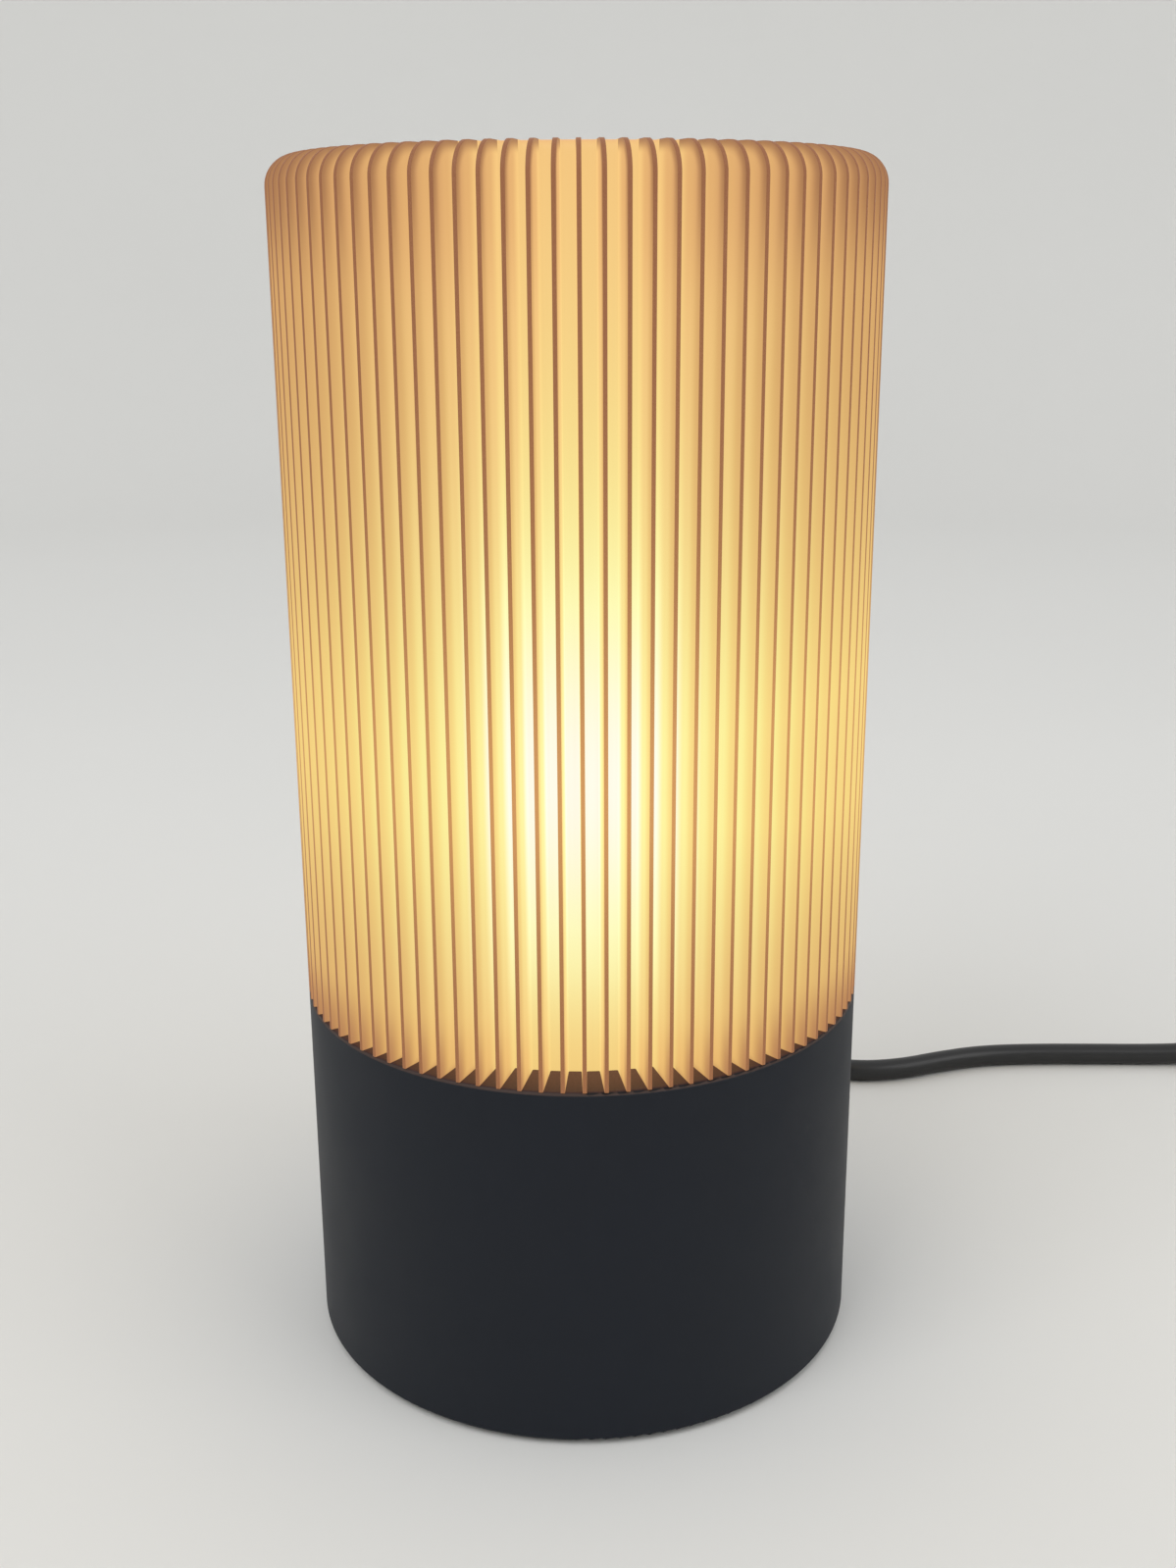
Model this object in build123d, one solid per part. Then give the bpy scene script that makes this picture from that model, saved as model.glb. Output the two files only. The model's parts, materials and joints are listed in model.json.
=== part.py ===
from build123d import *
from math import cos, pi, radians, sin, tan
import os

os.makedirs("parts", exist_ok=True)

# Sizes are in millimetres and angles in degrees. The origin lies on the table under the lamp's
# axis, +Z points up, the lamp is looked at from its -Y side and its cord leaves on the +Y side.

# Clearances and overruns
seat_gap = 0.05            # between rigid pieces that are fastened to each other
slip_gap = 0.1             # round a piece that lifts off or screws out by hand
rest_gap = 0.3             # between a loose piece and what stops it
cut_overrun = 1.0          # how far a cutting shape runs past the solid that it cuts

# Base shell: one moulding with the outer wall, the deck and the ring that centres the shade
base_radius = 60.0
deck_height = 79.0
shell_wall = 3.0
deck_thickness = 3.0
shell_lift = 1.0           # shadow gap between the wall's lower edge and the table
rim_rounding = 0.8
foot_rounding = 1.0
inner_rounding = 2.0
deck_opening_radius = 27.0
ring_height = 8.0
ring_wall = 2.5
ring_rounding = 0.8
boss_radius = 3.5
boss_merge = 0.4           # how far a screw post runs into the outer wall
boss_pilot_radius = 1.1
boss_pilot_depth = 14.0
boss_angles = (30, 150, 270)

# Shade: a thin cup upside down, with upright fins round it whose upper ends are rounded over
shade_height = 170.5
fin_depth = 9.4            # the fins' tips are flush with the base's outer wall
shade_wall = 2.0
shade_top_thickness = 3.0
shade_edge_share = 0.9     # rounding of the cup's upper edge, as a share of its wall
shade_bore_rounding = 3.0
fin_count = 90
fin_tip_thickness = 0.8
fin_root_thickness = 1.0
fin_rounding = 5.8

# Bottom cover and pads
pad_thickness = 2.0
pad_radius = 6.0
pad_inset = 15.0           # from the base's outer wall in to the pads' middles
pad_rounding = 0.5
pad_angles = (45, 135, 225, 315)
cover_thickness = 3.0
cover_rounding = 0.6

# Ballast plate
ballast_inset = 12.0       # from the base's outer wall in to the plate's edge
ballast_thickness = 6.0
ballast_bore = 8.0
ballast_rounding = 0.8
ballast_screw_inset = 14.0

# Screws: head radius, head height, shank radius and shank length of each kind
cover_screw = (2.6, 1.7, 1.05, 12.0)
ballast_screw = (3.2, 1.8, 1.9, 6.0)
strap_screw = (3.4, 2.2, 1.9, 6.0)
clamp_screw = (2.6, 1.8, 1.4, 9.0)
terminal_screw = (2.0, 1.4, 1.2, 3.5)
shell_screw = (2.2, 1.5, 1.0, 8.0)
recess_width_share = 0.25  # width of the cross recess, as a share of the head's radius
recess_reach_share = 0.6
recess_depth_share = 0.6
head_rounding_share = 0.4

# Strap under the lampholder
strap_span = 72.0
strap_shoulder = 20.0
strap_clear_height = 10.0
strap_thickness = 1.5
strap_width = 22.0
strap_bend = 1.0
strap_screw_offset = 29.0

# Threaded tube and its nut
nipple_radius = 5.0
nipple_bore = 3.2
nipple_lower_reach = 1.5   # how far the tube stands out of its nut
nipple_upper_reach = 5.0   # how far it stands into the lampholder
nut_thickness = 3.0
nut_across_flats = 14.0
nut_washer_radius = 8.5
nut_washer_thickness = 0.8

# Lampholder
holder_radius = 19.5
holder_wall = 1.9
holder_foot_radius = 10.0
holder_foot_thickness = 2.5
holder_cap_height = 15.5
holder_cap_cone = 8.5
holder_joint_step = 3.0
holder_height = 48.5
holder_lip = 2.2
holder_mouth_radius = 15.3
holder_edge_rounding = 1.0
core_height = 4.5
core_stem_radius = 7.0
core_stem_height = 2.0
core_slot_depth = 3.0
core_slot_length = 11.0
screw_shell_length = 20.0
screw_shell_thickness = 0.5
contact_leaf_width = 5.0
contact_leaf_thickness = 0.5
contact_leaf_rise = 2.6
contact_leaf_reach = 5.5
terminal_offset = 10.0

# Screw thread of lampholder and bulb, drawn as rounded grooves
thread_pitch = 3.6
thread_depth = 0.45        # from the middle of the wave to a crest
thread_turns = 5
cap_crest_radius = 13.1

# Bulb
bulb_radius = 30.0
bulb_length = 108.0
bulb_wall = 1.2
bulb_contact_radius = 4.6
bulb_contact_height = 2.0
bulb_insulator_height = 4.0
bulb_cap_wall = 0.6
bulb_cap_plain = 1.8       # plain bands above and below the thread
collar_foot_radius = 14.6
collar_straight = 5.0
collar_wall = 1.6
collar_top_drop = 18.0     # from the globe's centre down to the collar's upper edge
emitter_board_thickness = 1.6
emitter_board_margin = 0.4
emitter_count = 12
emitter_circle = 14.0
emitter_side = 3.0
emitter_height = 0.8
driver_width = 18.0
driver_length = 22.0
driver_thickness = 1.6
driver_part_radius = 4.0
driver_part_length = 9.0

# Strain relief in the base's rear wall
cord_diameter = 6.0
exit_rest = 0.3            # between the inner cord and the ballast plate under it
gland_neck_radius = 5.0
gland_collar_radius = 6.8
gland_collar_thickness = 3.0
gland_flange_radius = 6.5
gland_flange_thickness = 2.5
gland_flange_setback = 0.6
gland_length = 20.0        # from the wall to the tip
gland_tip_radius = 3.9
gland_shoulder_radius = 5.6
gland_rounding = 0.8

# Inner leads and the clamp that holds them
lead_jacket_length = 38.0
lead_radius = 1.1
lead_spread = 1.4
lead_turn = 4.0
lead_turn_share = 0.5      # bend above the threaded tube, as a share of the one below it
clamp_length = 8.0
clamp_width = 26.0
clamp_roof = 3.0
clamp_screw_offset = 9.0
clamp_inset = 22.0         # from the base's outer wall in to the clamp's middle
clamp_rounding = 1.0

# Switch on the cord
switch_length = 58.0
switch_width = 24.0
switch_height = 16.0
switch_axis_height = 7.0
switch_wall = 1.8
switch_end_wall = 6.0
switch_corner = 9.0
switch_edge_rounding = 2.5
switch_sleeve_radius = 5.0
switch_sleeve_length = 5.0
switch_screw_offset = 19.0
switch_post_radius = 2.6
rocker_length = 17.0
rocker_width = 11.0
rocker_depth = 5.0
rocker_tilt = 8.0
rocker_rise = 1.6
rocker_pivot_radius = 1.2
rocker_axle_reach = 1.6
bar_thickness = 0.6
bar_width = 6.0
bar_length = 15.0
bar_gap = 2.0

# Plug
plug_length = 36.0
plug_neck_radius = 5.0
plug_neck_length = 9.0
plug_front_width = 25.0
plug_waist_width = 15.0
plug_thickness = 13.6
plug_edge_rounding = 2.5
pin_radius = 2.0
pin_tip_rounding = 1.2
pin_length = 19.0
pin_spacing = 18.6

# Cord: its routes are lists of points chosen by hand, its coil is worked out
run_share = 0.45
coil_gap = 0.5             # between turns side by side and between the two layers
coil_outer_radius = 45.0
coil_inward_half_turns = 6
coil_outward_half_turns = 5
gap_test_points = 36       # on each half turn

# Heights that follow from the sizes above
lamp_height = deck_height + shade_height
shade_radius = base_radius - fin_depth
shade_bore = shade_radius - shade_wall
ring_radius = shade_bore - slip_gap
cover_top = pad_thickness + cover_thickness
cover_radius = base_radius - shell_wall - seat_gap
ballast_top = cover_top + ballast_thickness
ballast_radius = base_radius - ballast_inset
ballast_screw_circle = ballast_radius - ballast_screw_inset
pad_circle = base_radius - pad_inset
clamp_place = base_radius - clamp_inset
strap_top = ballast_top + strap_clear_height + strap_thickness
strap_under = strap_top - strap_thickness
holder_top = strap_top + holder_height
holder_cap_top = strap_top + holder_cap_height
core_low = holder_cap_top + seat_gap
core_top = core_low + core_height
terminal_seat = core_low - holder_joint_step + core_slot_depth
contact_tip = core_top + contact_leaf_rise
bulb_tip = contact_tip + rest_gap
bulb_centre = bulb_tip + bulb_length - bulb_radius
collar_top = bulb_centre - collar_top_drop
cap_low = bulb_tip + bulb_contact_height + bulb_insulator_height
cap_top = cap_low + thread_pitch * thread_turns + 2 * bulb_cap_plain
screw_shell_bore = cap_crest_radius + rest_gap
exit_height = ballast_top + exit_rest + cord_diameter / 2
gland_tip = base_radius + gland_length
boss_circle = base_radius - shell_wall - boss_radius + boss_merge

# Routes of the free cord, start to end, along its middle line
cord_radius = cord_diameter / 2
lead_route = [
    (0, gland_tip, exit_height),
    (0, 91.5, exit_height),
    (3.9, 102.3, 12.8),
    (11.3, 111.1, 10.4),
    (21.7, 117.1, 7.6),
    (34.5, 119.6, 5),
    (47.5, 117.4, 3.4),
    (59, 111.4, cord_radius),
    (69.5, 105, cord_radius),
    (81.5, 101.6, cord_radius),
    (94, 103, cord_radius),
    (106, 107.6, cord_radius),
    (119, 111.2, cord_radius),
    (134, 112, cord_radius),
    (151, 111.6, cord_radius),
    (167, 111, cord_radius),
    (180, 110.4, 3.4),
    (192, 110, 5.2),
    (203, 110, switch_axis_height),
    (212, 110, switch_axis_height),
]
switch_place = lead_route[-1]
switch_far_end = switch_place[0] + switch_length
tail_route = [
    (switch_far_end, switch_place[1], switch_axis_height),
    (281.5, 110, switch_axis_height),
    (292.3, 106.1, 5.8),
    (301.1, 98.7, 4.3),
    (307.1, 88.3, 3.2),
    (309.8, 75.6, cord_radius),
    (310.3, 63, cord_radius),
    (310.3, 51, cord_radius),
]
coil_start = tail_route[-1]


def post(radius, low, high, x=0, y=0):
    """Upright cylinder between two heights."""
    return Pos(x, y, low) * extrude(Circle(radius), high - low)


def turned(*corners):
    """Solid turned about the upright axis from (radius, height, rounding) corners."""
    places = [(radius, height) for radius, height, rounding in corners]
    roundings = [rounding for radius, height, rounding in corners]
    outline = FilletPolyline(*places, radius=roundings, close=True)
    return revolve(Plane.XZ * make_face(outline), Axis.Z)


def around(angles, radius):
    """Places on a circle about the axis."""
    return [(radius * cos(radians(angle)), radius * sin(radians(angle))) for angle in angles]


def screw(kind):
    """Pan-head screw that points down, with the underside of its head at zero."""
    head_radius, head_height, shank_radius, shank_length = kind
    head = extrude(Circle(head_radius), head_height)
    head = fillet(head.edges().sort_by(Axis.Z)[-1], head_height * head_rounding_share)
    reach = 2 * head_radius * recess_reach_share
    width = head_radius * recess_width_share
    cross = Rectangle(reach, width) + Rectangle(width, reach)
    recess = Pos(0, 0, head_height * (1 - recess_depth_share)) * extrude(cross, head_height)
    return head - recess + extrude(Circle(shank_radius), -shank_length)


def screw_hole(kind, low, high, x, y):
    """Clearance hole for a screw's shank."""
    return post(kind[2] + seat_gap, low, high, x, y)


def wave(middle, depth, low, turns):
    """Edges of a rounded thread profile, upwards from a height, in radius and height."""
    quarter = thread_pitch / 4
    edges = []
    for turn in range(turns):
        foot = low + turn * thread_pitch
        crest = (middle + depth, foot + quarter)
        centre = (middle, foot + 2 * quarter)
        root = (middle - depth, foot + 3 * quarter)
        edges.append(ThreePointArc((middle, foot), crest, centre))
        edges.append(ThreePointArc(centre, root, (middle, foot + thread_pitch)))
    return edges


# Base

def base_shell():
    """Outer wall, deck and centring ring in one turned shape, with screw posts inside."""
    wall_bore = base_radius - shell_wall
    deck_under = deck_height - deck_thickness
    ring_top = deck_height + ring_height
    ring_bore = ring_radius - ring_wall
    shell = turned(
        (base_radius, shell_lift, foot_rounding),
        (base_radius, deck_height, rim_rounding),
        (ring_radius, deck_height, 0),
        (ring_radius, ring_top, ring_rounding),
        (ring_bore, ring_top, ring_rounding),
        (ring_bore, deck_height, 0),
        (deck_opening_radius, deck_height, rim_rounding),
        (deck_opening_radius, deck_under, 0),
        (wall_bore, deck_under, inner_rounding),
        (wall_bore, shell_lift, 0),
    )
    for x, y in around(boss_angles, boss_circle):
        shell += post(boss_radius, cover_top + seat_gap, deck_under, x, y)
    for x, y in around(boss_angles, boss_circle):
        shell -= post(boss_pilot_radius, cover_top - cut_overrun, cover_top + boss_pilot_depth, x, y)
    cord_hole = Plane.XZ.offset(-base_radius - cut_overrun) * Pos(0, exit_height)
    neck = cord_hole * Circle(gland_neck_radius + seat_gap)
    return shell - extrude(neck, shell_wall + 2 * cut_overrun)


def bottom_cover():
    """Disc that closes the base from below, with sunk seats for its screws."""
    cover = turned(
        (0, pad_thickness, 0),
        (cover_radius, pad_thickness, cover_rounding),
        (cover_radius, cover_top, 0),
        (0, cover_top, 0),
    )
    for kind, circle in ((cover_screw, boss_circle), (ballast_screw, ballast_screw_circle)):
        seat_top = pad_thickness + kind[1] + seat_gap
        for x, y in around(boss_angles, circle):
            cover -= screw_hole(kind, pad_thickness, cover_top + cut_overrun, x, y)
            cover -= post(kind[0] + seat_gap, pad_thickness - cut_overrun, seat_top, x, y)
    return cover


def foot_pads():
    """Round pads under the cover, on which the lamp stands."""
    pads = []
    for x, y in around(pad_angles, pad_circle):
        pad = post(pad_radius, 0, pad_thickness, x, y)
        pads.append(fillet(pad.edges().sort_by(Axis.Z)[0], pad_rounding))
    return pads


def upward_screws(kind, circle):
    """Screws put in from below, with their heads in the cover's seats."""
    head_seat = pad_thickness + kind[1] + seat_gap
    return [Pos(x, y, head_seat) * Rot(180, 0, 0) * screw(kind) for x, y in around(boss_angles, circle)]


def ballast_plate():
    """Steel disc that keeps the lamp from tipping over."""
    plate = turned(
        (ballast_bore, cover_top, 0),
        (ballast_radius, cover_top, ballast_rounding),
        (ballast_radius, ballast_top, ballast_rounding),
        (ballast_bore, ballast_top, 0),
    )
    for x, y in around(boss_angles, ballast_screw_circle):
        plate -= screw_hole(ballast_screw, cover_top - cut_overrun, ballast_top + cut_overrun, x, y)
    for side in (-1, 1):
        for kind, x, y in (
            (strap_screw, side * strap_screw_offset, 0),
            (clamp_screw, side * clamp_screw_offset, clamp_place),
        ):
            plate -= screw_hole(kind, cover_top - cut_overrun, ballast_top + cut_overrun, x, y)
    return plate


# Lampholder and what carries it

def holder_strap():
    """Sheet steel strap that stands on the ballast plate and carries the lampholder."""
    half_span = strap_span / 2
    outer_leg = strap_shoulder + strap_thickness
    foot_top = ballast_top + strap_thickness
    outer_bend = strap_bend + strap_thickness
    right = [
        (strap_shoulder, strap_under, strap_bend),
        (strap_shoulder, ballast_top, outer_bend),
        (half_span, ballast_top, 0),
        (half_span, foot_top, 0),
        (outer_leg, foot_top, strap_bend),
        (outer_leg, strap_top, outer_bend),
    ]
    left = [(-x, z, rounding) for x, z, rounding in reversed(right)]
    corners = right + left
    outline = FilletPolyline(
        *[(x, z) for x, z, rounding in corners],
        radius=[rounding for x, z, rounding in corners],
        close=True,
    )
    strap = extrude(Plane.XZ * make_face(outline), strap_width / 2, both=True)
    strap -= post(nipple_radius + seat_gap, strap_under - cut_overrun, strap_top + cut_overrun)
    for side in (-1, 1):
        x = side * strap_screw_offset
        strap -= screw_hole(strap_screw, ballast_top - cut_overrun, foot_top + cut_overrun, x, 0)
    return strap


def strap_screws():
    """Screws that hold the strap's feet on the ballast plate."""
    seat = ballast_top + strap_thickness + seat_gap
    return [Pos(side * strap_screw_offset, 0, seat) * screw(strap_screw) for side in (-1, 1)]


def holder_nipple():
    """Threaded tube through which the wires enter the lampholder."""
    low = strap_under - nut_washer_thickness - nut_thickness - nipple_lower_reach
    high = strap_top + nipple_upper_reach
    return post(nipple_radius, low, high) - post(nipple_bore, low - cut_overrun, high + cut_overrun)


def nipple_nut():
    """Nut and washer in one, tightened against the strap from below."""
    washer_low = strap_under - nut_washer_thickness
    nut = extrude(RegularPolygon(nut_across_flats / 2, 6, major_radius=False), -nut_thickness)
    nut = Pos(0, 0, washer_low) * nut + post(nut_washer_radius, washer_low, strap_under)
    bore_low = washer_low - nut_thickness - cut_overrun
    return nut - post(nipple_radius + seat_gap, bore_low, strap_under + cut_overrun)


def holder_cap():
    """Lower half of the lampholder, a funnel that screws on the threaded tube."""
    bore = nipple_radius + seat_gap
    inner = holder_radius - holder_wall
    foot_top = strap_top + holder_foot_thickness
    cone_top = strap_top + holder_cap_cone
    return turned(
        (bore, strap_top, 0),
        (holder_foot_radius, strap_top, 0),
        (holder_radius, cone_top, holder_edge_rounding),
        (holder_radius, holder_cap_top, 0),
        (inner, holder_cap_top, 0),
        (inner, cone_top + holder_wall, 0),
        (holder_foot_radius, foot_top, 0),
        (bore, foot_top, 0),
    )


def holder_sleeve():
    """Upper half of the lampholder, a sleeve with a lip that guards the screw shell."""
    inner = holder_radius - holder_wall
    low = holder_cap_top + seat_gap
    return turned(
        (inner, low, 0),
        (holder_radius, low, 0),
        (holder_radius, holder_top, holder_edge_rounding),
        (holder_mouth_radius, holder_top, holder_edge_rounding),
        (holder_mouth_radius, holder_top - holder_lip, 0),
        (inner, holder_top - holder_lip, 0),
    )


def holder_core():
    """Ceramic disc that carries the contacts, resting on the cap's upper edge."""
    core = turned(
        (0, core_low - holder_joint_step, 0),
        (holder_radius - 2 * holder_wall, core_low - holder_joint_step, 0),
        (holder_radius - 2 * holder_wall, core_low, 0),
        (holder_radius - holder_wall - seat_gap, core_low, 0),
        (holder_radius - holder_wall - seat_gap, core_top, 0),
        (0, core_top, 0),
    )
    core += post(core_stem_radius, core_top, core_top + core_stem_height)
    under = core_low - holder_joint_step
    for side in (-1, 1):
        slot = Rectangle(2 * (terminal_screw[0] + rest_gap), core_slot_length)
        core -= Pos(side * terminal_offset, 0, under) * extrude(slot, core_slot_depth)
        pilot_top = terminal_seat + terminal_screw[3] + seat_gap
        core -= screw_hole(terminal_screw, under - cut_overrun, pilot_top, side * terminal_offset, 0)
    return core


def holder_screw_shell():
    """Brass shell into which the bulb's cap turns."""
    middle = screw_shell_bore + thread_depth
    low = core_top + seat_gap
    rise = (screw_shell_length - thread_pitch * thread_turns) / 2
    top = low + screw_shell_length
    bore_low = low + rise
    bore_high = bore_low + thread_pitch * thread_turns
    outer = middle + screw_shell_thickness
    bore = wave(middle, -thread_depth, bore_low, thread_turns)
    skin = wave(outer, -thread_depth, bore_low, thread_turns)
    ends = [
        Polyline((middle, bore_low), (middle, low), (outer, low), (outer, bore_low)),
        Polyline((middle, bore_high), (middle, top), (outer, top), (outer, bore_high)),
    ]
    return revolve(Plane.XZ * make_face(bore + skin + ends), Axis.Z)


def holder_contact_leaf():
    """Sprung brass leaf that touches the bulb's tip."""
    stem_top = core_top + core_stem_height
    half = contact_leaf_thickness
    foot = stem_top + half
    outline = Polyline(
        (-contact_leaf_reach, stem_top),
        (contact_leaf_reach, stem_top),
        (contact_leaf_reach, foot),
        (contact_leaf_thickness, contact_tip),
        (-contact_leaf_thickness, contact_tip),
        (-contact_leaf_reach, foot),
        close=True,
    )
    return extrude(Plane.XZ * make_face(outline), contact_leaf_width / 2, both=True)


def holder_terminals():
    """Terminal screws under the core, one for each wire."""
    turned_up = Pos(0, 0, terminal_seat) * Rot(180, 0, 0) * screw(terminal_screw)
    return [Pos(side * terminal_offset, 0, 0) * turned_up for side in (-1, 1)]


# Shade

def shade():
    """Cup upside down with a fin at every few degrees, all in one piece."""
    edge = shade_wall * shade_edge_share
    under_top = lamp_height - shade_top_thickness
    cup = turned(
        (shade_bore, deck_height, 0),
        (shade_radius, deck_height, 0),
        (shade_radius, lamp_height, edge),
        (0, lamp_height, 0),
        (0, under_top, 0),
        (shade_bore, under_top, shade_bore_rounding),
    )
    envelope = turned(
        (0, deck_height, 0),
        (base_radius, deck_height, 0),
        (base_radius, lamp_height, fin_rounding),
        (0, lamp_height, 0),
    )
    root = shade_radius - edge
    half_root = fin_root_thickness / 2
    half_tip = fin_tip_thickness / 2
    reach = base_radius + cut_overrun
    plan = Polyline(
        (-half_root, -root),
        (-half_root, -shade_radius),
        (-half_tip, -reach),
        (half_tip, -reach),
        (half_root, -shade_radius),
        (half_root, -root),
        close=True,
    )
    fin = Pos(0, 0, deck_height) * extrude(make_face(plan), shade_height) & envelope
    fins = [Rot(0, 0, place * 360 / fin_count) * fin for place in range(fin_count)]
    return cup.fuse(*fins)


# Bulb

def bulb_globe():
    """Opal dome over the light source."""
    ball = Sphere(bulb_radius) - Sphere(bulb_radius - bulb_wall)
    keep = Pos(0, 0, -collar_top_drop) * extrude(Circle(bulb_radius + cut_overrun), 2 * bulb_radius)
    return Pos(0, 0, bulb_centre) * (ball & keep)


def bulb_collar():
    """Flared plastic neck between the screw cap and the dome, with a ledge for the emitters."""
    rim = (bulb_radius**2 - collar_top_drop**2) ** 0.5
    foot = cap_top
    bend = foot + collar_straight
    top = collar_top - seat_gap
    outer = Line((collar_foot_radius, foot), (collar_foot_radius, bend))
    flare = TangentArc((collar_foot_radius, bend), (rim, top), tangent=(0, 1))
    inner_foot = collar_foot_radius - collar_wall
    ledge = rim - 2 * collar_wall
    inner_flare = TangentArc((inner_foot, bend), (ledge, top), tangent=(0, 1))
    rest = [
        Line((rim, top), (ledge, top)),
        Polyline(
            (inner_foot, bend),
            (inner_foot, foot + collar_wall),
            (0, foot + collar_wall),
            (0, foot),
            (collar_foot_radius, foot),
        ),
    ]
    return revolve(Plane.XZ * make_face([outer, flare, inner_flare] + rest), Axis.Z)


def bulb_cap():
    """Screw cap of the bulb, an aluminium shell with a rolled thread."""
    middle = cap_crest_radius - thread_depth
    bore = middle - thread_depth - bulb_cap_wall
    low = cap_low + bulb_cap_plain
    high = low + thread_pitch * thread_turns
    thread = wave(middle, thread_depth, low, thread_turns)
    body = Polyline(
        (middle, high),
        (middle, cap_top - seat_gap),
        (bore, cap_top - seat_gap),
        (bore, cap_low),
        (middle, cap_low),
        (middle, low),
    )
    return revolve(Plane.XZ * make_face(thread + [body]), Axis.Z)


def bulb_insulator():
    """Glass cone between the cap and the tip contact."""
    low = bulb_tip + bulb_contact_height
    cap_edge = cap_crest_radius - thread_depth
    return turned(
        (0, low + seat_gap, 0),
        (bulb_contact_radius, low + seat_gap, 0),
        (cap_edge, cap_low - seat_gap, 0),
        (0, cap_low - seat_gap, 0),
    )


def bulb_contact():
    """Tip contact of the bulb."""
    return turned(
        (0, bulb_tip, 0),
        (bulb_contact_radius, bulb_tip, bulb_contact_height / 2),
        (bulb_contact_radius, bulb_tip + bulb_contact_height, 0),
        (0, bulb_tip + bulb_contact_height, 0),
    )


def emitter_board():
    """Metal-backed board inside the dome, with a ring of light-emitting chips."""
    bore = bulb_radius - bulb_wall
    rim = (bore**2 - collar_top_drop**2) ** 0.5 - emitter_board_margin
    face = collar_top + emitter_board_thickness
    board = post(rim, collar_top, face)
    for x, y in around([place * 360 / emitter_count for place in range(emitter_count)], emitter_circle):
        chip = Rectangle(emitter_side, emitter_side)
        board += Pos(x, y, face) * extrude(chip, emitter_height)
    return board


def driver_board():
    """Upright circuit board with its capacitor, inside the neck."""
    low = cap_top + collar_wall + seat_gap
    board = Pos(0, 0, low) * extrude(Rectangle(driver_width, driver_thickness), driver_length)
    part = Pos(0, driver_thickness / 2, low + driver_length / 2) * Rot(-90, 0, 0)
    return board + part * extrude(Circle(driver_part_radius), driver_part_length)


# Cord entry and inner wiring

def strain_relief():
    """Moulded grommet with a tapered boot, clipped into the base's rear wall."""
    setback = base_radius - shell_wall - gland_flange_setback
    flange_back = setback - gland_flange_thickness
    collar_front = base_radius + seat_gap + gland_collar_thickness
    outline = FilletPolyline(
        (0, flange_back),
        (gland_flange_radius, flange_back),
        (gland_flange_radius, setback),
        (gland_neck_radius, setback),
        (gland_neck_radius, base_radius + seat_gap),
        (gland_collar_radius, base_radius + seat_gap),
        (gland_collar_radius, collar_front),
        (gland_shoulder_radius, collar_front),
        (gland_tip_radius, gland_tip),
        (0, gland_tip),
        radius=[0, gland_rounding, 0, 0, 0, 0, gland_rounding, 0, 0, 0],
        close=True,
    )
    return Pos(0, 0, exit_height) * revolve(make_face(outline), Axis.Y)


def lead_jacket():
    """Jacketed end of the cord inside the base, lying on the ballast plate."""
    start = base_radius - shell_wall - gland_flange_setback - gland_flange_thickness
    plane = Plane.XZ.offset(-start) * Pos(0, exit_height)
    return extrude(plane * Circle(cord_radius), lead_jacket_length)


def lead_wire(side):
    """One insulated wire, from the jacket up through the threaded tube to its terminal."""
    jacket_end = base_radius - shell_wall - gland_flange_setback - gland_flange_thickness
    jacket_end -= lead_jacket_length
    near = side * lead_spread
    far = side * terminal_offset
    nipple_top = strap_top + nipple_upper_reach
    tip = terminal_seat - terminal_screw[1] - seat_gap
    bend = lead_turn * lead_turn_share
    route = FilletPolyline(
        (near, jacket_end, exit_height),
        (near, 0, exit_height),
        (near, 0, nipple_top + lead_radius),
        (far, 0, tip - 2 * bend),
        (far, 0, tip),
        radius=[lead_turn, bend, bend],
    )
    return sweep(Plane(origin=route @ 0, z_dir=route % 0) * Circle(lead_radius), path=route)


def cord_clamp():
    """Saddle that presses the jacket on the ballast plate."""
    roof = exit_height + cord_radius + clamp_roof
    height = roof - ballast_top
    block = Pos(0, clamp_place, ballast_top) * extrude(Rectangle(clamp_width, clamp_length), height)
    block = fillet(block.edges().filter_by(Axis.Y).group_by(Axis.Z)[-1], clamp_rounding)
    groove = Plane.XZ.offset(-clamp_place - clamp_length) * Pos(0, exit_height)
    block -= extrude(groove * Circle(cord_radius + seat_gap), 2 * clamp_length)
    slot = Rectangle(cord_diameter + 2 * seat_gap, clamp_length + 2 * cut_overrun)
    block -= Pos(0, clamp_place, ballast_top) * extrude(slot, exit_height - ballast_top)
    for side in (-1, 1):
        x = side * clamp_screw_offset
        block -= screw_hole(clamp_screw, ballast_top - cut_overrun, roof + cut_overrun, x, clamp_place)
    return block


def clamp_screws():
    """Screws of the cord clamp."""
    seat = exit_height + cord_radius + clamp_roof + seat_gap
    return [Pos(side * clamp_screw_offset, clamp_place, seat) * screw(clamp_screw) for side in (-1, 1)]


# Free cord

def run_radii(route):
    """Largest arc at each corner that leaves its share of the shorter run."""
    points = [Vector(*point) for point in route]
    radii = []
    for before, corner, after in zip(points, points[1:], points[2:]):
        run_in = corner - before
        run_out = after - corner
        turn = radians(run_in.get_angle(run_out))
        radii.append(run_share * min(run_in.length, run_out.length) / tan(turn / 2))
    return radii


def cord_tube(name, path):
    """Round tube along a path, with its volume set against section times length."""
    tube = sweep(Plane(origin=path @ 0, z_dir=path % 0) * Circle(cord_radius), path=path)
    share = tube.volume / (pi * cord_radius**2 * path.length)
    print(name, "length", round(path.length, 1), "volume share", round(share, 4))
    return tube


def routed_cord(name, route):
    """Cord along a route of straight runs joined by arcs."""
    radii = run_radii(route)
    print(name, "radii", [round(radius, 1) for radius in radii])
    return cord_tube(name, FilletPolyline(*route, radius=radii))


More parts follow.
